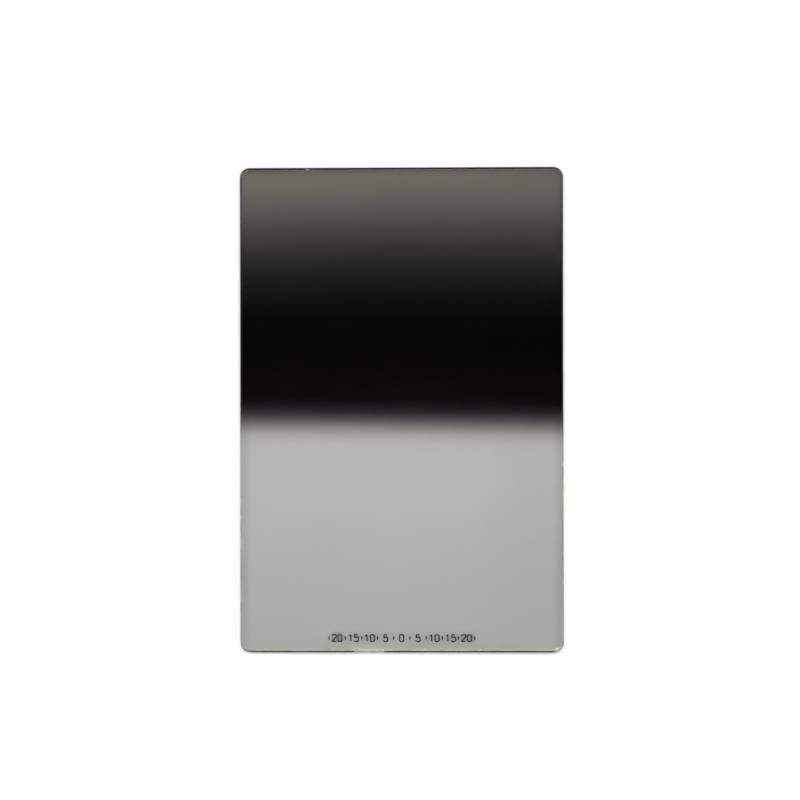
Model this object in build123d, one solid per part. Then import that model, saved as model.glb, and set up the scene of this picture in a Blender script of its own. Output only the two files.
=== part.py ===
from build123d import *
import math
import os

# A reverse-graduated neutral-density filter: one cast plate of clear optical resin, dyed grey.
# It lies on its back face. X runs across the plate, Y along it towards the dyed end, and Z out
# of the front face. The origin is the middle of the back face. Sizes are in millimetres.

# Plate
plate_width = 100.0
plate_length = 150.0
plate_thickness = 2.0
corner_radius = 3.0

# Edge: a flat band half way up it, and a rounded rim above and below the band
edge_band = 0.4
rim_radius = (plate_thickness - edge_band) / 2

# Chip out of the front rim at the dyed end, as a shallow scoop
chip_from_middle = -29.0
chip_width = 1.5
chip_depth = 0.4


def plate_blank():
    """The cast plate: a sheet with rounded corners, and both rims of its edge rounded."""
    outline = RectangleRounded(plate_width, plate_length, corner_radius)
    sheet = extrude(outline, amount=plate_thickness)
    faces = sheet.faces().sort_by(Axis.Z)
    rims = faces[0].edges() + faces[-1].edges()
    return fillet(rims, radius=rim_radius)


def rim_chip():
    """The ball whose surface is the scoop of the chip.

    A cap of the given width and depth sets the ball's radius. The ball comes in over the middle
    of the front rim's rounding, half way between the front face and the edge.
    """
    ball_radius = (chip_width**2 / 4 + chip_depth**2) / (2 * chip_depth)
    reach = (rim_radius + ball_radius - chip_depth) * math.sqrt(0.5)
    along = plate_length / 2 - rim_radius + reach
    height = plate_thickness - rim_radius + reach
    return Pos(chip_from_middle, along, height) * Sphere(ball_radius)


filter_plate = plate_blank() - rim_chip()

os.makedirs("parts", exist_ok=True)
export_step(filter_plate, "parts/filter_plate.step")
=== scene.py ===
"""Dresses a reverse-graduated neutral-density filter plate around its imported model.

The plate is one closed surface worked out from its edge section and its outline. Its resin is
clear, with grey dye whose density follows a formula along the plate. A centring scale is printed
near the clear end. Lengths in the formulas are metres unless a name says millimetres.
"""

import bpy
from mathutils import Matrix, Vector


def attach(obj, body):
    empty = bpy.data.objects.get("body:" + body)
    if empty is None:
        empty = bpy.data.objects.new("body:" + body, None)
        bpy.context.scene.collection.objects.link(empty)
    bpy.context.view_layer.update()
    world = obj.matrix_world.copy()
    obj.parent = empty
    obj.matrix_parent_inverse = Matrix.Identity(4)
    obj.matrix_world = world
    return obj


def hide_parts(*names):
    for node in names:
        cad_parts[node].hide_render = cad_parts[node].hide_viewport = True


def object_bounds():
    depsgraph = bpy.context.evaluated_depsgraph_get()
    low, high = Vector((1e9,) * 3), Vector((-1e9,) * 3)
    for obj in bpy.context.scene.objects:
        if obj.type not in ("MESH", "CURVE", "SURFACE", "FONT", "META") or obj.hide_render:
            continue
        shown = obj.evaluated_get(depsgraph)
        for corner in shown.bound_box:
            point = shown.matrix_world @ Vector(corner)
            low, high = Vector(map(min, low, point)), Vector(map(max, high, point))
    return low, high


bl_info = {
    "name": "Graduated Filter Plate",
    "version": (1, 0, 0),
    "blender": (4, 5, 0),
    "location": "3D View > Sidebar > Filter",
    "description": "Builds a graduated filter plate, its printed scale and a studio around it",
    "category": "Object",
}

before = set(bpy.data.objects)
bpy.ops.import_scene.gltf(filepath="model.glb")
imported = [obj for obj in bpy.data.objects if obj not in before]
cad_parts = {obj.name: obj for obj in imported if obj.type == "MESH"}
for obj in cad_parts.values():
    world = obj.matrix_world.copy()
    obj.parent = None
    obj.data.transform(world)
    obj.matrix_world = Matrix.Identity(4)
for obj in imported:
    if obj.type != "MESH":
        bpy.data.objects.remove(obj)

import math

import bpy
import numpy as np
from bpy.props import FloatProperty, FloatVectorProperty, IntProperty, PointerProperty
from mathutils import Matrix, Vector

MM = 0.001
CAD_LOW, CAD_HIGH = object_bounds()
PLATE_WIDTH = CAD_HIGH.x - CAD_LOW.x
PLATE_LENGTH = CAD_HIGH.y - CAD_LOW.y
PLATE_THICKNESS = CAD_HIGH.z - CAD_LOW.z
ROOT_BODY = "root"


class PlateSizes(bpy.types.PropertyGroup):
    """Sizes of the plate that its bounding box doesn't give."""

    corner_radius: FloatProperty(
        name="Corner radius", description="Radius of the plate's four corners",
        default=3.0 * MM, min=0.5 * MM, unit="LENGTH")
    edge_band: FloatProperty(
        name="Edge band", description="Height of the flat band between the two rounded rims",
        default=0.4 * MM, min=0.0, unit="LENGTH")
    chip_from_middle: FloatProperty(
        name="Chip position", description="Place of the chip along the dyed end, from the middle",
        default=-29.0 * MM, unit="LENGTH")
    chip_width: FloatProperty(
        name="Chip width", description="Width of the chip along the rim",
        default=1.5 * MM, unit="LENGTH")
    chip_depth: FloatProperty(
        name="Chip depth", description="Depth of the chip's scoop",
        default=0.4 * MM, unit="LENGTH")
    dent_place: FloatVectorProperty(
        name="Dent place", description="Middle of the dent in the right-hand clear corner",
        default=(48.05 * MM, -74.4 * MM), size=2, unit="LENGTH")
    dent_width: FloatProperty(
        name="Dent width", description="Width of the dent", default=1.6 * MM, unit="LENGTH")
    dent_depth: FloatProperty(
        name="Dent depth", description="Depth of the dent", default=0.08 * MM, unit="LENGTH")


class DyeSettings(bpy.types.PropertyGroup):
    """Colour of the resin, how its dye runs along the plate, and painted shade and highlight."""

    resin_colour: FloatVectorProperty(
        name="Resin", description="Light that the undyed plate lets through, once",
        default=(0.835, 0.836, 0.812), subtype="COLOR", min=0.0, max=1.0)
    dye_absorption: FloatVectorProperty(
        name="Dye absorption", description="How much the dye takes of red, green and blue",
        default=(1.0, 1.011, 0.982), size=3)
    line_cast: FloatVectorProperty(
        name="Line cast", description="Extra density of red, green and blue at the soft line",
        default=(0.0, 0.062, 0.027), size=3)
    end_cast: FloatVectorProperty(
        name="End cast", description="Extra density of red, green and blue at the dyed end",
        default=(0.0, 0.0165, 0.037), size=3)
    end_cast_power: FloatProperty(
        name="End cast power", description="How late that cast comes in along the fade",
        default=3.0)
    line_density: FloatProperty(
        name="Line density", description="Optical density of the dye just above the soft line",
        default=1.02)
    peak_density: FloatProperty(
        name="Peak density", description="Density that the dye rises to if it doesn't fade",
        default=1.35)
    end_density: FloatProperty(
        name="End density", description="Optical density of the dye at the dyed end",
        default=0.229)
    clear_from: FloatProperty(
        name="Clear from", description="Where the soft line ends in clear resin",
        default=-15.7 * MM, unit="LENGTH")
    dark_from: FloatProperty(
        name="Dark from", description="Where the soft line reaches its full density",
        default=4.7 * MM, unit="LENGTH")
    line_power: FloatProperty(
        name="Line power", description="How slowly the soft line starts on its clear side",
        default=2.58)
    peak_at: FloatProperty(
        name="Peak at", description="Where the rise above the soft line ends",
        default=27.2 * MM, unit="LENGTH")
    fade_from: FloatProperty(
        name="Fade from", description="Where the density starts to fade towards the end",
        default=7.35 * MM, unit="LENGTH")
    line_slope: FloatProperty(
        name="Line slope", description="How much the soft line falls for each step to the right",
        default=0.013)
    fade_slope: FloatProperty(
        name="Fade slope", description="The same for the fade, which rises",
        default=-0.008)
    fade_bow: FloatProperty(
        name="Fade bow", description="How much the fade sags at the sides, for each metre squared",
        default=0.7)
    # Painted shade: the next four settings darken the clear half a little towards its end and
    # towards the sides, standing in for the light falling off there.
    clear_fall: FloatProperty(
        name="Clear fall", description="Density of the trace of tint at the clear end",
        default=0.032)
    clear_fall_from: FloatProperty(
        name="Clear fall from", description="Where that trace starts on the way to the end",
        default=-9.0 * MM, unit="LENGTH")
    side_fall: FloatVectorProperty(
        name="Side fall", description="Density of the trace of tint at the left and right",
        default=(0.002, 0.012), size=2)
    side_fall_span: FloatVectorProperty(
        name="Side fall span", description="Distances from the middle where it starts and ends",
        default=(18.0 * MM, 40.0 * MM), size=2, unit="LENGTH")
    # Painted shade: the next two settings darken a band along the sides, standing in for the
    # shadow near the plate's edges.
    border_density: FloatVectorProperty(
        name="Border density", description="Density of the tint along the sides: clear, dyed",
        default=(0.062, 0.02), size=2)
    border_width: FloatProperty(
        name="Border width", description="Width of the tint along the sides",
        default=3.8 * MM, unit="LENGTH")
    # The dark line set below is painted shade, standing in for the light that the rounded edge
    # bends away, with a share of the dye's own darkening of the edge in the dyed half.
    end_line_density: FloatProperty(
        name="End line density", description="Density of the dark line of the two ground ends",
        default=2.2)
    side_line_density: FloatVectorProperty(
        name="Side line density", description="Density of that line on the sides: clear, dyed",
        default=(0.3, 1.5), size=2)
    side_line_width: FloatVectorProperty(
        name="Side line width", description="Width of that line on the sides: clear, dyed",
        default=(0.3 * MM, 0.62 * MM), size=2, unit="LENGTH")
    end_line_width: FloatVectorProperty(
        name="End line width", description="Width of that line on the ends: clear, dyed",
        default=(0.66 * MM, 0.71 * MM), size=2, unit="LENGTH")
    line_core: FloatProperty(
        name="Line core", description="Share of that line's width that has its full density",
        default=0.6, min=0.0, max=1.0, subtype="FACTOR")
    end_reach: FloatVectorProperty(
        name="End reach", description="Distances from an end between which the sides' line turns "
        "into the end's",
        default=(2.2 * MM, 0.4 * MM), size=2, unit="LENGTH")
    # The clear end's dark line is lighter in its corners and on one stretch of the end, as the
    # next four settings give.
    line_wear: FloatVectorProperty(
        name="Line wear", description="Share of the clear end's dark line that is gone: left "
        "corner, worn stretch, right corner",
        default=(0.7, 0.88, 1.0), size=3)
    worn_stretch: FloatVectorProperty(
        name="Worn stretch", description="Ends of the worn stretch of the clear end",
        default=(-15.0 * MM, -5.3 * MM), size=2, unit="LENGTH")
    worn_corner: FloatProperty(
        name="Worn corner", description="Distance from the middle where the corners' wear starts",
        default=47.0 * MM, unit="LENGTH")
    wear_blur: FloatProperty(
        name="Wear blur", description="Half the length over which the wear fades out",
        default=0.7 * MM, unit="LENGTH")
    # Painted highlight: the next three settings lighten a thin line in the clear half where the
    # rounding starts, standing in for light caught there.
    ridge_gain: FloatVectorProperty(
        name="Ridge gain", description="Density lost where the rounding starts: sides, ends",
        default=(0.03, 0.09), size=2)
    ridge_width: FloatProperty(
        name="Ridge width", description="Half width of that light line",
        default=0.25 * MM, unit="LENGTH")
    ridge_inset: FloatProperty(
        name="Ridge inset", description="How far the light line lies inside the rounding's start",
        default=0.12 * MM, unit="LENGTH")
    speck_density: FloatProperty(
        name="Speck density", description="Optical density of the specks in the clear half",
        default=0.4)
    speck_radius: FloatProperty(
        name="Speck radius", description="Radius of the specks", default=0.25 * MM,
        unit="LENGTH")


class FinishSettings(bpy.types.PropertyGroup):
    """How polished the resin is, and how even."""

    polish: FloatProperty(
        name="Polish", description="Roughness of the clean faces",
        default=0.02, min=0.0, max=1.0, subtype="FACTOR")
    smudge_roughness: FloatProperty(
        name="Smudge roughness", description="Roughness that the smudges add", default=0.03)
    rim_roughness: FloatProperty(
        name="Rim roughness", description="Roughness that the rounded rims add", default=0.15)
    clear_rim_roughness: FloatProperty(
        name="Clear rim roughness", description="What the clear half's rims add to that",
        default=0.1)
    rim_grain: FloatProperty(
        name="Rim grain", description="Strength of the fine grain of the rims", default=0.1)
    mottle: FloatProperty(
        name="Mottle", description="Share by which the dye's density differs from place to place",
        default=0.03)


# Middles of the specks in the clear half, in millimetres
SPECKS_MM = ((-18.3, -27.5), (-20.5, -42.6), (-16.8, -34.0), (-10.6, -53.7), (15.9, -56.8),
             (1.4, -46.0), (-17.4, -62.3))


class ScaleMarks(bpy.types.PropertyGroup):
    """The scale printed across the clear end, which helps to centre the plate in a holder."""

    reach_mm: IntProperty(
        name="Reach", description="Last number on each side, in millimetres from the middle",
        default=20, min=5)
    pitch_mm: IntProperty(
        name="Pitch", description="Millimetres between numbers", default=5, min=3)
    digit_height: FloatProperty(
        name="Digit height", description="Height of the digits", default=2.0 * MM, unit="LENGTH")
    stroke_width: FloatProperty(
        name="Stroke width", description="Width of a printed stroke",
        default=0.38 * MM, unit="LENGTH")
    ink_thickness: FloatProperty(
        name="Ink thickness", description="Height of the ink above the face",
        default=0.012 * MM, unit="LENGTH")
    from_clear_end: FloatProperty(
        name="From clear end", description="Distance of the digits' middle from the clear end",
        default=4.5 * MM, unit="LENGTH")
    ink_colour: FloatVectorProperty(
        name="Ink", description="Colour of the print",
        default=(0.01, 0.01, 0.0095), subtype="COLOR", min=0.0, max=1.0)


class StudioSettings(bpy.types.PropertyGroup):
    """The pale floor, the soft light over it and the camera."""

    floor_colour: FloatVectorProperty(
        name="Floor", description="Colour of the paper floor",
        default=(0.86, 0.86, 0.855), subtype="COLOR", min=0.0, max=1.0)
    floor_radius: FloatProperty(
        name="Floor radius", description="Radius of the flat part of the floor",
        default=2.5, unit="LENGTH")
    wall_height: FloatProperty(
        name="Wall height", description="Height of the curved wall round the floor",
        default=0.4, unit="LENGTH")
    fill_strength: FloatProperty(
        name="Fill", description="Brightness of the light from all round", default=0.14)
    back_strength: FloatProperty(
        name="Back light", description="Brightness of the two softboxes over the dyed end",
        default=4.95)
    back_span: FloatVectorProperty(
        name="Back span", description="Angles from straight above where they start and end",
        default=(math.radians(13.0), math.radians(40.0)), size=2, unit="ROTATION")
    back_sides: FloatVectorProperty(
        name="Back sides", description="Sines of their angles to the side, at start and end",
        default=(0.15, 0.9), size=2)
    front_strength: FloatProperty(
        name="Front light", description="Brightness of the softbox over the clear end",
        default=10.6)
    front_span: FloatVectorProperty(
        name="Front span", description="Angles from straight above where it starts and ends",
        default=(math.radians(-10.0), math.radians(-26.0)), size=2, unit="ROTATION")
    front_sides: FloatVectorProperty(
        name="Front sides", description="Sines of its angles to the left and right",
        default=(-0.14, 0.33), size=2)
    light_fade: FloatProperty(
        name="Light fade", description="Angle over which a softbox fades at its borders",
        default=math.radians(4.0), subtype="ANGLE")
    shade_angle: FloatProperty(
        name="Shade", description="Half angle of the dark card straight overhead",
        default=math.radians(12.0), subtype="ANGLE")
    camera_height: FloatProperty(
        name="Camera height", description="Height of the camera above the floor",
        default=0.6885, unit="LENGTH")
    camera_offset: FloatVectorProperty(
        name="Camera offset", description="Camera's place across and along the plate",
        default=(16.0 * MM, 1.0 * MM), size=2, unit="LENGTH")
    aim: FloatVectorProperty(
        name="Aim", description="Point of the plate that the camera looks at",
        default=(-0.46 * MM, 3.04 * MM), size=2, unit="LENGTH")
    roll: FloatProperty(
        name="Roll", description="Turn of the camera about its own axis",
        default=math.radians(-0.09), subtype="ANGLE")
    lens: FloatProperty(
        name="Lens", description="Focal length in millimetres", default=100.0, unit="CAMERA")


class Value:
    """A node's output socket. Its operators add Math nodes, so shader maths reads as maths."""

    def __init__(self, shader, socket):
        self.shader = shader
        self.socket = socket

    def math(self, operation, *terms):
        """A Math node on these terms, each a value or a plain number."""
        return self.shader.node("ShaderNodeMath", {"operation": operation}, dict(enumerate(terms)))

    def __add__(self, other):
        return self.math("ADD", self, other)

    def __radd__(self, other):
        return self.math("ADD", other, self)

    def __sub__(self, other):
        return self.math("SUBTRACT", self, other)

    def __rsub__(self, other):
        return self.math("SUBTRACT", other, self)

    def __mul__(self, other):
        return self.math("MULTIPLY", self, other)

    def __rmul__(self, other):
        return self.math("MULTIPLY", other, self)

    def __pow__(self, other):
        return self.math("POWER", self, other)

    def __rpow__(self, other):
        return self.math("POWER", other, self)

    def __abs__(self):
        return self.math("ABSOLUTE", self)

    def least(self, other):
        """The smaller of this and the other."""
        return self.math("MINIMUM", self, other)

    def most(self, other):
        """The larger of this and the other."""
        return self.math("MAXIMUM", self, other)

    def step(self, start, end):
        """Rises smoothly from 0 at start to 1 at end."""
        return self.shader.node(
            "ShaderNodeMapRange", {"interpolation_type": "SMOOTHSTEP"},
            {"Value": self, "From Min": start, "From Max": end})


class Shader:
    """A node tree that is being written. Every node comes from node()."""

    def __init__(self, tree):
        self.tree = tree
        tree.nodes.clear()

    def node(self, kind, settings=None, sockets=None, output=0):
        """Adds a node: its settings first, then a value or a link for each socket named."""
        made = self.tree.nodes.new(kind)
        for name, value in (settings or {}).items():
            setattr(made, name, value)
        for name, value in (sockets or {}).items():
            if isinstance(value, Value):
                self.tree.links.new(value.socket, made.inputs[name])
            else:
                made.inputs[name].default_value = value
        return Value(self, made.outputs[output]) if made.outputs else None

    def xyz(self, vector):
        """The three parts of a vector, as values."""
        split = self.node("ShaderNodeSeparateXYZ", None, {"Vector": vector})
        return [Value(self, socket) for socket in split.socket.node.outputs]

    def place(self):
        """The point on the piece, in metres of the plate's own frame."""
        return self.node("ShaderNodeTexCoord", output="Object")

    def mix(self, share, one, other):
        """One colour at share 0 and the other at share 1. They go into sockets 6 and 7."""
        return self.node("ShaderNodeMix", {"data_type": "RGBA"},
                         {"Factor": share, 6: one, 7: other}, output=2)

    def distance(self, vector, point):
        """The distance between a place and a fixed point."""
        return self.node("ShaderNodeVectorMath", {"operation": "DISTANCE"},
                         {0: vector, 1: point}, output=1)

    def noise(self, vector, size, detail=2.0):
        """Soft noise from 0 to 1 whose blobs are about size across."""
        return self.node("ShaderNodeTexNoise", None,
                         {"Vector": vector, "Scale": 1.0 / size, "Detail": detail})


def new_material(name):
    """An empty node material and the shader that writes it."""
    material = bpy.data.materials.new(name)
    material.use_nodes = True
    return material, Shader(material.node_tree)


def blend(share, one, other):
    """One number at share 0 and the other at share 1. Each is a value or a plain number."""
    return one + share * (other - one)


def rim_radius(sizes):
    """Radius of the rounding above and below the edge's flat band."""
    return (PLATE_THICKNESS - sizes.edge_band) / 2


def inset_from_outline(shader, place, corner_radius):
    """How far a point lies inside the rounded rectangle of the plate's outline.

    With q the distance past the corner circles' centres on each axis, the distance outside is
    the length of the positive part of q, plus the negative part of the larger q, less the radius.
    """
    x, y, _ = shader.xyz(place)
    across = abs(x) - (PLATE_WIDTH / 2 - corner_radius)
    along = abs(y) - (PLATE_LENGTH / 2 - corner_radius)
    outer = (across.most(0.0) ** 2.0 + along.most(0.0) ** 2.0) ** 0.5
    inner = across.most(along).least(0.0)
    return corner_radius - outer - inner


def dye_density(shader, place, dye):
    """Density of the dye plus painted shade, and how much of each channel's cast applies.

    The density is a soft step across the middle, a slower rise above it and a long fade to the
    end. In the clear half painted shade is added, darker towards the clear end and the sides,
    standing in for the light falling off there. Also returned are how far the soft step has got,
    and the shares of the two casts.
    """
    x, y, _ = shader.xyz(place)
    along = y + x * dye.line_slope
    reached = along.step(dye.clear_from, dye.dark_from) ** dye.line_power
    risen = along.step(dye.dark_from, dye.peak_at)
    fading = y + x * (dye.fade_slope + x * dye.fade_bow)
    fallen = fading.step(dye.fade_from, PLATE_LENGTH / 2)
    density = (reached * dye.line_density + risen * (dye.peak_density - dye.line_density)
               - fallen * (dye.peak_density - dye.end_density))
    # Painted shade, darker towards the clear end and the sides, for the light falling off there.
    left, right = dye.side_fall
    near, far = dye.side_fall_span
    painted_falloff = (y.step(dye.clear_fall_from, -PLATE_LENGTH / 2) * dye.clear_fall
             + x.step(near, far) * right + x.step(-near, -far) * left)
    return density + painted_falloff, reached, reached * (1.0 - risen), fallen ** dye.end_cast_power


def edge_density(shader, place, inset, dyed, sizes, dye):
    """Painted shade and painted highlight that the edge adds to the dye's density.

    A faint broad band of painted shade lies along the sides, for the shadow near the edges. A
    dark line runs round the outside, darkest on the two ends and faintest on the clear sides: it
    is painted shade for the light that the rounded edge bends away, with a share of the dye's own
    darkening of the edge in the dyed half. The line is lighter in the clear end's corners and on
    a stretch of that end. A painted highlight, a light line in the clear half, marks where the
    rounding starts.
    """
    x, y, _ = shader.xyz(place)
    clear = 1.0 - dyed
    # Painted shade in a band along the sides.
    clear_edge_shade, dyed_edge_shade = dye.border_density
    border = (PLATE_WIDTH / 2 - abs(x)).step(dye.border_width, 0.0)
    border = border * blend(clear, dyed_edge_shade, clear_edge_shade)

    # Where the clear end's dark line is lighter: its two corners and one stretch.
    start, end = dye.worn_stretch
    corner, blur = dye.worn_corner, dye.wear_blur
    left_lightening, stretch_lightening, right_lightening = dye.line_wear
    lightened = (x.step(start - blur, start + blur) * x.step(end + blur, end - blur) * stretch_lightening
            + x.step(blur - corner, -blur - corner) * left_lightening
            + x.step(corner - blur, corner + blur) * right_lightening)
    end_line = dye.end_line_density * (1.0 - clear * lightened)

    # The dark line round the outside: painted shade, with the dye's own edge darkening in the dyed
    # half.
    side_line = blend(dyed, *dye.side_line_density)
    turn_from, turn_to = dye.end_reach
    at_end = abs(y).step(PLATE_LENGTH / 2 - turn_from, PLATE_LENGTH / 2 - turn_to)
    side_width = blend(dyed, *dye.side_line_width)
    end_width = blend(dyed, *dye.end_line_width)
    width = blend(at_end, side_width, end_width)
    line = inset.step(width, width * dye.line_core) * blend(at_end, side_line, end_line)

    # Painted highlight: a light line in the clear half where the rounding starts.
    middle = rim_radius(sizes) + dye.ridge_inset
    painted_highlight = (inset.step(middle + dye.ridge_width, middle)
             * inset.step(middle - dye.ridge_width, middle))
    return border + line - painted_highlight * clear * blend(at_end, *dye.ridge_gain)


SPECK_CORE = 0.3


def speck_density(shader, place, dye):
    """Optical density of the specks: a soft dot round each speck's middle on the front face.

    It is full out to SPECK_CORE of a speck's radius, and fades from there to the radius.
    """
    density = 0.0
    for x_mm, y_mm in SPECKS_MM:
        middle = (x_mm * MM, y_mm * MM, PLATE_THICKNESS)
        distance = shader.distance(place, middle)
        density = distance.step(dye.speck_radius, dye.speck_radius * SPECK_CORE) + density
    return density * dye.speck_density


BARE_HEIGHT_SHARE = 0.3
BARE_OUTER, BARE_INNER = 0.7, 0.45


def bare_share(shader, place, sizes):
    """How far the chip lays clear resin bare: 1 within BARE_INNER of it and 0 past BARE_OUTER.

    Those distances are in chip widths, from the point at the chip's middle where the end and
    the front face would meet. A drop below that face counts for BARE_HEIGHT_SHARE of itself, so
    the bare spot reaches down the plate's edge.
    """
    squashed = shader.node("ShaderNodeVectorMath", {"operation": "MULTIPLY"},
                           {0: place, 1: (1.0, 1.0, BARE_HEIGHT_SHARE)})
    middle = (sizes.chip_from_middle, PLATE_LENGTH / 2, PLATE_THICKNESS * BARE_HEIGHT_SHARE)
    return shader.distance(squashed, middle).step(sizes.chip_width * BARE_OUTER,
                                                  sizes.chip_width * BARE_INNER)


RIM_CORE, RIM_REACH = 0.6, 1.3


def resin_roughness(shader, place, inset, dyed, sizes, finish):
    """Roughness of the resin, and the share of it that is the rounded rim's.

    The rim's share rises from 0 where the rounding starts, one rim radius in from the outline,
    to 1 at RIM_CORE of that radius. What the clear half adds rises from 0 at RIM_REACH of the
    radius to its full value where the rounding starts. Faint smudges lie where a slow noise is
    above its middle.
    """
    radius = rim_radius(sizes)
    rim = inset.step(radius, radius * RIM_CORE)
    clear_rim = inset.step(radius * RIM_REACH, radius) * (1.0 - dyed)
    smudge = shader.noise(place, size=9.0 * MM, detail=4.0).step(0.5, 0.75)
    roughness = (finish.polish + smudge * finish.smudge_roughness
                 + rim * finish.rim_roughness + clear_rim * finish.clear_rim_roughness)
    return roughness, rim


def dyed_resin(sizes, dye, finish):
    """Polished clear resin, tinted by the dye at its surface.

    Each channel is the clear resin's times 10 to the power of minus its density, which is the
    dye's, a little uneven, with painted shade towards the clear end and the sides, the casts,
    the edge's painted shade and painted highlight, and the specks added.
    """
    material, shader = new_material("dyed_resin")
    place = shader.place()
    inset = inset_from_outline(shader, place, sizes.corner_radius)
    density, dyed, at_line, at_end = dye_density(shader, place, dye)
    mottle = shader.noise(place, size=14.0 * MM) - 0.5
    density = density * (1.0 + mottle * finish.mottle)
    # grey holds the edge's painted shade and painted highlight, and the specks.
    grey = (edge_density(shader, place, inset, dyed, sizes, dye)
            + speck_density(shader, place, dye))
    bare = bare_share(shader, place, sizes)
    channels = [
        clear * 10.0 ** ((density * absorption + grey + at_line * line_cast + at_end * end_cast)
                         * (bare - 1.0))
        for clear, absorption, line_cast, end_cast
        in zip(dye.resin_colour, dye.dye_absorption, dye.line_cast, dye.end_cast)]
    colour = shader.node("ShaderNodeCombineColor", None,
                         dict(zip(("Red", "Green", "Blue"), channels)))
    roughness, rim = resin_roughness(shader, place, inset, dyed, sizes, finish)
    grain = shader.node("ShaderNodeBump", None, {
        "Height": shader.noise(place, size=0.4 * MM, detail=3.0), "Distance": 0.01 * MM,
        "Strength": rim * finish.rim_grain})
    surface = shader.node("ShaderNodeBsdfPrincipled", None, {
        "Base Color": colour, "Roughness": roughness, "IOR": 1.5, "Transmission Weight": 1.0,
        "Normal": grain})
    shader.node("ShaderNodeOutputMaterial", None, {"Surface": surface})
    return material


THIN_INK_GAIN = 1.8
INK_ROUGHNESS = 0.5, 0.7


def printing_ink(marks):
    """Matt screen-printing ink, a little lighter and rougher where it is thin."""
    material, shader = new_material("printing_ink")
    thinness = shader.noise(shader.place(), size=0.25 * MM, detail=3.0)
    thin = (*(channel * THIN_INK_GAIN for channel in marks.ink_colour), 1.0)
    colour = shader.mix(thinness, (*marks.ink_colour, 1.0), thin)
    surface = shader.node("ShaderNodeBsdfPrincipled", None, {
        "Base Color": colour, "Roughness": blend(thinness, *INK_ROUGHNESS),
        "Specular IOR Level": 0.1})
    shader.node("ShaderNodeOutputMaterial", None, {"Surface": surface})
    return material


def add_piece(name, points, faces, material, smooth):
    """A mesh object of that name in the scene, with its place in its mesh."""
    mesh = bpy.data.meshes.new(name)
    mesh.from_pydata(points.tolist(), [], faces)
    mesh.polygons.foreach_set("use_smooth", smooth)
    mesh.materials.append(material)
    mesh.update()
    piece = bpy.data.objects.new(name, mesh)
    bpy.context.scene.collection.objects.link(piece)
    return piece


def grid_faces(rows, columns, wrap_rows=False, wrap_columns=False, first=0):
    """Quads of a grid of points counted row by row from first. A wrapped side joins its ends."""
    row = np.arange(rows if wrap_rows else rows - 1)
    column = np.arange(columns if wrap_columns else columns - 1)
    row, column = (a.ravel() for a in np.meshgrid(row, column, indexing="ij"))
    below, right = (row + 1) % rows, (column + 1) % columns
    quads = np.stack([row * columns + column, below * columns + column,
                      below * columns + right, row * columns + right], axis=1)
    return (quads + first).tolist()


def cap_radius(width, depth):
    """Radius of the ball whose cap has that width and depth."""
    return (width**2 / 4 + depth**2) / (2 * depth)


def scoop(points, centre, radius, least_distance=1e-9):
    """Points inside a ball move straight out from its centre to its surface."""
    away = points - centre
    distance = np.linalg.norm(away, axis=-1, keepdims=True)
    pushed = centre + away * (radius / np.maximum(distance, least_distance))
    return np.where(distance < radius, pushed, points)


def outline_stations(corner_radius, chip_places, corner_steps=30, spacing=1.5 * MM,
                     least_gap=0.02 * MM):
    """Corner-circle centres and outward normals at stations round the plate.

    Each side is a straight run of one normal, and each corner a quarter turn of normals about
    one centre. The order is anticlockwise, from the right-hand corner of the dyed end. That end
    also has stations at chip_places, which are distances from that corner's centre.
    """
    half = np.array([PLATE_WIDTH / 2 - corner_radius, PLATE_LENGTH / 2 - corner_radius])
    corners = half * np.array([[1, 1], [-1, 1], [-1, -1], [1, -1]])
    centres, normals = [], []
    for turn in range(4):
        angles = np.pi / 2 * (turn + np.linspace(0, 1, corner_steps + 1))
        centres.append(np.repeat(corners[turn][None], corner_steps + 1, axis=0))
        normals.append(np.stack([np.cos(angles), np.sin(angles)], axis=1))
        start, end = corners[turn], corners[(turn + 1) % 4]
        length = np.linalg.norm(end - start)
        runs = np.linspace(0, length, round(length / spacing) + 1)[1:-1]
        if turn == 0:
            away = np.abs(runs[:, None] - chip_places).min(axis=1)
            runs = np.sort(np.concatenate([runs[away > least_gap], chip_places]))
        centres.append(start + (end - start) * (runs / length)[:, None])
        normals.append(np.repeat(normals[-1][-1][None], len(runs), axis=0))
    return np.concatenate(centres), np.concatenate(normals)


def edge_section(radius, steps=14, rings_mm=(1.2, 0.8, 0.4, 0.08)):
    """Insets from the outline and drops from the front face, from the face to the edge band.

    On a rounding of radius r a point at angle a is in by r (1 - sin a), and r (1 - cos a) below
    the face. Rings on the flat face just inside the rounding keep the face's shading flat.
    """
    rings = radius + np.array(rings_mm) * MM
    angle = np.linspace(0, np.pi / 2, steps + 1)
    inset = radius * (1 - np.sin(angle))
    drop = radius * (1 - np.cos(angle))
    return np.concatenate([rings, inset]), np.concatenate([np.zeros(len(rings)), drop])


# Extra stations of the outline across the chip, in chip widths from its middle
CHIP_STATIONS = np.linspace(-0.7, 0.7, 21)


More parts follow.
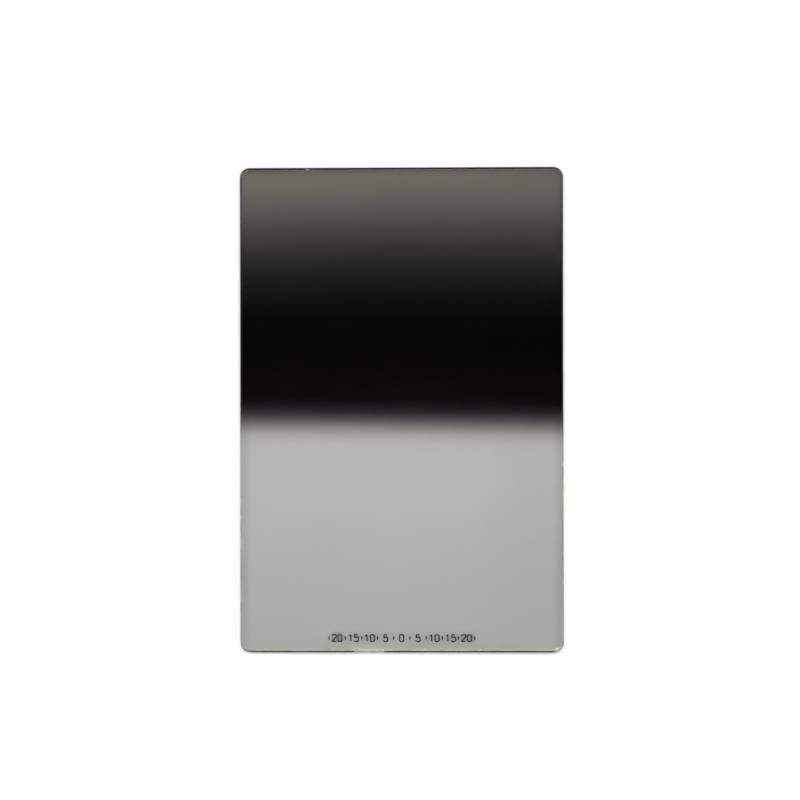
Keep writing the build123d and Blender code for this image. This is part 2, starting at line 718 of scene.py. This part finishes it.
def plate_surface(sizes):
    """Points of the plate, row by row from the front face to the back face.

    Point = corner centre + normal * (corner radius - inset), at a height that the edge section
    gives. The chip and the dent are the parts of two balls that reach into the plate. The
    chip's ball comes in at 45 degrees, over the middle of the front rim's rounding.
    """
    chip_at = PLATE_WIDTH / 2 - sizes.corner_radius - sizes.chip_from_middle
    chip_places = chip_at + sizes.chip_width * CHIP_STATIONS
    centre, normal = outline_stations(sizes.corner_radius, chip_places)

    rounding = rim_radius(sizes)
    inset, drop = edge_section(rounding)
    middle = PLATE_THICKNESS / 2
    insets = np.concatenate([inset, [0.0], inset[::-1]])
    heights = np.concatenate([PLATE_THICKNESS - drop, [middle], drop[::-1]])
    plan = centre + normal * (sizes.corner_radius - insets)[:, None, None]
    height = np.broadcast_to(heights[:, None, None], (*plan.shape[:2], 1))
    points = np.concatenate([plan, height], axis=-1)

    chip_radius = cap_radius(sizes.chip_width, sizes.chip_depth)
    reach = (rounding + chip_radius - sizes.chip_depth) * math.sqrt(0.5)
    chip_ball = np.array([sizes.chip_from_middle, PLATE_LENGTH / 2 - rounding + reach,
                          PLATE_THICKNESS - rounding + reach])
    points = scoop(points, chip_ball, chip_radius)
    dent_radius = cap_radius(sizes.dent_width, sizes.dent_depth)
    above = PLATE_THICKNESS + dent_radius - sizes.dent_depth
    return scoop(points, np.array([*sizes.dent_place, above]), dent_radius)


# Points that shape each digit's line, in digit heights from the digit's lower left corner
DIGIT_LINES = {
    "0": [(0.31, 1.0), (0.62, 1.0), (0.62, 0.5), (0.62, 0.0), (0.31, 0.0), (0.0, 0.0),
          (0.0, 0.5), (0.0, 1.0)],
    "1": [(0.1, 0.78), (0.3, 0.9), (0.4, 1.04), (0.4, 0.85), (0.4, 0.0)],
    "2": [(0.02, 0.75), (0.04, 1.02), (0.34, 1.02), (0.66, 1.0), (0.62, 0.62), (0.3, 0.32),
          (-0.02, 0.02), (0.1, 0.0), (0.3, 0.0), (0.62, 0.0)],
    "5": [(0.58, 1.0), (0.3, 1.0), (0.08, 1.02), (0.08, 0.8), (0.06, 0.54), (0.3, 0.66),
          (0.64, 0.66), (0.66, 0.3), (0.6, -0.02), (0.28, -0.02), (0.06, 0.0), (0.0, 0.18)],
}
DIGIT_WIDTH = 0.66
DIGIT_GAP = 0.26
CLOSED_DIGITS = "0"
TICK_REACH = 0.28
TICK_POINTS = 12


def spline_line(corners, closed, per_corner=10):
    """Quadratic B-spline of its corners: (1-t)^2/2 a + (1/2 + t - t^2) b + t^2/2 c."""
    corners = np.array(corners, float)
    first, last = (corners[-1:], corners[:1]) if closed else (corners[:1], corners[-1:])
    corners = np.concatenate([first, corners, last])
    t = np.linspace(0, 1, per_corner, endpoint=False)[:, None]
    a, b, c = (corners[i:len(corners) - 2 + i, None] for i in range(3))
    line = ((1 - t) ** 2 / 2 * a + (0.5 + t - t**2) * b + t**2 / 2 * c).reshape(-1, 2)
    return line if closed else np.concatenate([line, last])


def ink_stroke(line, closed, half_width, base, thickness, around=8, blunt=0.02):
    """A domed ribbon of ink: a flattened ellipse carried along a line, with round ends.

    Across the line a point is at half width * cos a, and in height at base + thickness * sin a.
    At s half widths from an end, where s is under 1 and at least blunt, the half width is
    multiplied by sqrt(1 - (1 - s)^2).
    """
    if closed:
        ahead = np.roll(line, -1, axis=0) - np.roll(line, 1, axis=0)
        taper = np.ones(len(line))
    else:
        ahead = np.gradient(line, axis=0)
        run = np.concatenate([[0], np.cumsum(np.linalg.norm(np.diff(line, axis=0), axis=1))])
        to_end = np.minimum(run, run[-1] - run) / half_width
        taper = np.sqrt(1 - (1 - np.clip(to_end, blunt, 1)) ** 2)
    ahead = ahead / np.linalg.norm(ahead, axis=1, keepdims=True)
    side = np.stack([ahead[:, 1], -ahead[:, 0]], axis=1)
    angle = np.linspace(0, 2 * np.pi, around, endpoint=False)
    across = half_width * taper[:, None] * np.cos(angle)
    plan = line[:, None] + side[:, None] * across[..., None]
    height = np.broadcast_to(base + thickness * np.sin(angle), across.shape)
    return np.concatenate([plan, height[..., None]], axis=-1)


def scale_strokes(marks):
    """Lines of the printed scale as (points, closed): a number each pitch, a tick between.

    A tick reaches up and down from the digits' middle by TICK_REACH of their height.
    """
    middle = -PLATE_LENGTH / 2 + marks.from_clear_end
    height = marks.digit_height
    strokes = []
    for place in range(-marks.reach_mm, marks.reach_mm + 1, marks.pitch_mm):
        text = str(abs(place))
        width = len(text) * DIGIT_WIDTH + (len(text) - 1) * DIGIT_GAP
        for index, digit in enumerate(text):
            left = place * MM + height * (index * (DIGIT_WIDTH + DIGIT_GAP) - width / 2)
            closed = digit in CLOSED_DIGITS
            line = spline_line(DIGIT_LINES[digit], closed)
            strokes.append((line * height + (left, middle - height / 2), closed))
    half_pitch = marks.pitch_mm / 2
    for place in np.arange(-marks.reach_mm - half_pitch, marks.reach_mm + marks.pitch_mm,
                           marks.pitch_mm):
        tick = np.linspace(-TICK_REACH, TICK_REACH, TICK_POINTS)[:, None] * (0.0, height)
        strokes.append((tick + (place * MM, middle), False))
    return strokes


class FILTER_OT_plate(bpy.types.Operator):
    """Build the plate: its outline, rounded edge, chip, dent and dyed resin"""

    bl_idname = "filter.plate"
    bl_label = "Plate"

    def execute(self, context):
        scene = context.scene
        sizes = scene.plate_sizes
        material = dyed_resin(sizes, scene.dye_settings, scene.finish_settings)
        points = plate_surface(sizes)
        rows, columns = points.shape[:2]
        faces = grid_faces(rows, columns, wrap_columns=True)
        smooth = [True] * len(faces) + [False, False]
        front = list(range(columns))
        back = list(range((rows - 1) * columns, rows * columns))[::-1]
        plate = add_piece("resin_plate", points.reshape(-1, 3), faces + [front, back], material,
                          smooth)
        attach(plate, ROOT_BODY)
        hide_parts("filter_plate")
        return {"FINISHED"}


class FILTER_OT_scale(bpy.types.Operator):
    """Print the centring scale on the front face, near the clear end"""

    bl_idname = "filter.scale"
    bl_label = "Printed scale"

    def execute(self, context):
        marks = context.scene.scale_marks
        points, faces, count = [], [], 0
        for line, closed in scale_strokes(marks):
            ribbon = ink_stroke(line, closed, marks.stroke_width / 2, PLATE_THICKNESS,
                                marks.ink_thickness)
            rows, around = ribbon.shape[:2]
            faces += grid_faces(rows, around, wrap_rows=closed, wrap_columns=True, first=count)
            if not closed:
                faces.append(list(range(count, count + around)))
                faces.append(list(range(count + (rows - 1) * around, count + rows * around))[::-1])
            points.append(ribbon.reshape(-1, 3))
            count += rows * around
        scale = add_piece("printed_scale", np.concatenate(points), faces, printing_ink(marks),
                          [True] * len(faces))
        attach(scale, ROOT_BODY)
        return {"FINISHED"}


def paper_floor(studio):
    """Pale matt paper with a faint grain."""
    material, shader = new_material("paper_floor")
    fibres = shader.noise(shader.place(), size=1.5 * MM, detail=4.0)
    grain = shader.node("ShaderNodeBump", None, {
        "Height": fibres, "Distance": 0.05 * MM, "Strength": 0.2})
    surface = shader.node("ShaderNodeBsdfPrincipled", None, {
        "Base Color": (*studio.floor_colour, 1.0), "Roughness": 0.9,
        "Specular IOR Level": 0.1, "Normal": grain})
    shader.node("ShaderNodeOutputMaterial", None, {"Surface": surface})
    return material


def floor_surface(studio, air_gap=0.05 * MM, around=96, bend_steps=16, rings=11, first_ring=0.02):
    """Points of the floor: a disc whose rim bends up through a quarter circle into a wall.

    At angle b of the bend of radius w a point is out by w sin b and up by w (1 - cos b). The
    disc lies lower than the plate's back by the air gap.
    """
    bend = np.linspace(0, np.pi / 2, bend_steps + 1)
    flat = np.linspace(first_ring, 1, rings + 1)[:-1] * studio.floor_radius
    out = np.concatenate([flat, studio.floor_radius + studio.wall_height * np.sin(bend)])
    up = np.concatenate([np.zeros(rings), studio.wall_height * (1 - np.cos(bend))]) - air_gap
    turn = np.linspace(0, 2 * np.pi, around, endpoint=False)
    return np.stack([out[:, None] * np.cos(turn), out[:, None] * np.sin(turn),
                     np.broadcast_to(up[:, None], (len(up), around))], axis=-1)


CARD_CORE = 0.8


def light_studio(studio):
    """World light: an even fill, softboxes over both ends of the plate, and a dark card.

    A softbox spans some of the angle from straight above towards its end of the plate, and some
    of the sine of the angle to the side. Over the dyed end there are two, with a gap between
    them that the edge mirrors. The card is overhead, where the faces mirror it to the camera.
    It is full out to CARD_CORE of its angle, and fades from there to its border.
    """
    world = bpy.data.worlds.new("studio")
    world.use_nodes = True
    bpy.context.scene.world = world
    shader = Shader(world.node_tree)
    x, y, z = shader.xyz(shader.node("ShaderNodeTexCoord", output="Generated"))
    angle = y.math("ARCTAN2", y, z)
    fade = studio.light_fade / 2
    strength = studio.fill_strength
    for softbox, span, aside, sides in (
            (studio.back_strength, studio.back_span, abs(x), studio.back_sides),
            (studio.front_strength, studio.front_span, x, studio.front_sides)):
        shape = softbox
        for place, (start, end) in ((angle, sorted(span)), (aside, sides)):
            shape = place.step(start - fade, start + fade) * shape
            shape = place.step(end + fade, end - fade) * shape
        strength = shape + strength
    card = z.step(math.cos(studio.shade_angle), math.cos(studio.shade_angle * CARD_CORE))
    background = shader.node("ShaderNodeBackground", None, {
        "Color": (1.0, 1.0, 1.0, 1.0), "Strength": strength * (1.0 - card)})
    shader.node("ShaderNodeOutputWorld", None, {"Surface": background})


def place_camera(studio):
    """A camera nearly straight above, with the plate's dyed end at the top of the picture."""
    data = bpy.data.cameras.new("camera")
    data.lens = studio.lens
    data.clip_start = 0.01
    data.clip_end = 20.0
    camera = bpy.data.objects.new("camera", data)
    bpy.context.scene.collection.objects.link(camera)
    at = Vector((*studio.camera_offset, studio.camera_height))
    ahead = (Vector((*studio.aim, PLATE_THICKNESS)) - at).normalized()
    right = ahead.cross((-math.sin(studio.roll), math.cos(studio.roll), 0.0)).normalized()
    turn = Matrix((right, right.cross(ahead), -ahead)).transposed()
    camera.matrix_world = Matrix.Translation(at) @ turn.to_4x4()
    bpy.context.scene.camera = camera


class FILTER_OT_studio(bpy.types.Operator):
    """Set up the paper floor, the soft light and the camera"""

    bl_idname = "filter.studio"
    bl_label = "Studio"

    def execute(self, context):
        studio = context.scene.studio_settings
        points = floor_surface(studio)
        rows, around = points.shape[:2]
        faces = grid_faces(rows, around, wrap_columns=True)
        faces.append(list(range(around)))
        floor = add_piece("floor", points.reshape(-1, 3), faces, paper_floor(studio),
                          [True] * len(faces))
        light_studio(studio)
        place_camera(studio)
        context.scene.view_settings.view_transform = "Standard"
        return {"FINISHED"}


class FILTER_PT_sidebar(bpy.types.Panel):
    """Lists the steps and their settings"""

    bl_idname = "FILTER_PT_sidebar"
    bl_label = "Graduated filter plate"
    bl_space_type = "VIEW_3D"
    bl_region_type = "UI"
    bl_category = "Filter"

    def draw(self, context):
        for operator, groups in STEPS.items():
            box = self.layout.box()
            box.operator(operator)
            for group in groups:
                settings = getattr(context.scene, group)
                for name in settings.__annotations__:
                    box.prop(settings, name)


STEPS = {
    "filter.plate": ("plate_sizes", "dye_settings", "finish_settings"),
    "filter.scale": ("scale_marks",),
    "filter.studio": ("studio_settings",),
}
GROUPS = {
    "plate_sizes": PlateSizes,
    "dye_settings": DyeSettings,
    "finish_settings": FinishSettings,
    "scale_marks": ScaleMarks,
    "studio_settings": StudioSettings,
}
CLASSES = (*GROUPS.values(), FILTER_OT_plate, FILTER_OT_scale, FILTER_OT_studio,
           FILTER_PT_sidebar)


def register():
    for made in CLASSES:
        bpy.utils.register_class(made)
    for name, group in GROUPS.items():
        setattr(bpy.types.Scene, name, PointerProperty(type=group))


def unregister():
    for name in GROUPS:
        delattr(bpy.types.Scene, name)
    for made in reversed(CLASSES):
        bpy.utils.unregister_class(made)


def main():
    """Registers the add-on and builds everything."""
    register()
    bpy.ops.filter.plate()
    bpy.ops.filter.scale()
    bpy.ops.filter.studio()


if __name__ == "__main__":
    main()
